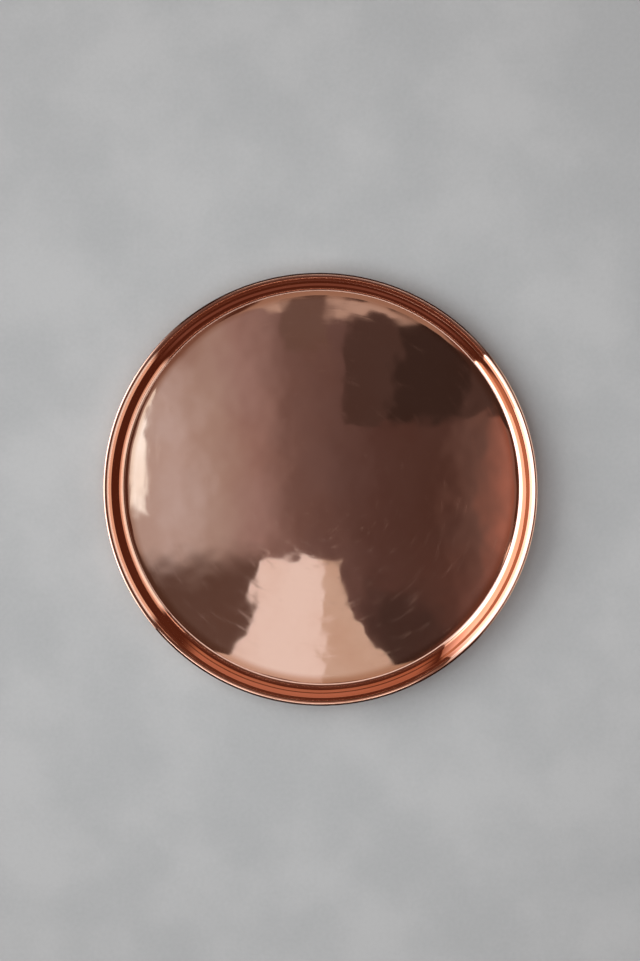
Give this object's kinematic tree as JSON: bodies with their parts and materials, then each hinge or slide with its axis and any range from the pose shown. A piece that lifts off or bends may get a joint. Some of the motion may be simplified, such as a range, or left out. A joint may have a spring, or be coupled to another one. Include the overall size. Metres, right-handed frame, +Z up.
{
  "type": "tray",
  "caption": "Round polished copper serving tray with a curved wall, a sharp shoulder, a flared lip and a rolled edge wired with a steel hoop.",
  "frame": {"origin": "centre of the flat ring that the tray stands on, at the middle of the bounding box's bottom face", "axes": "+Z up along the tray's turning axis, out of its open side; the wire's butt joint lies near +Y"},
  "size_m": [0.4, 0.4, 0.026],
  "materials": {
    "copper": "polished",
    "steel_wire": "plain drawn wire"
  },
  "bodies": {
    "root": {"tray_pan": "copper", "rim_wire": "steel_wire"}
  },
  "joints": []
}
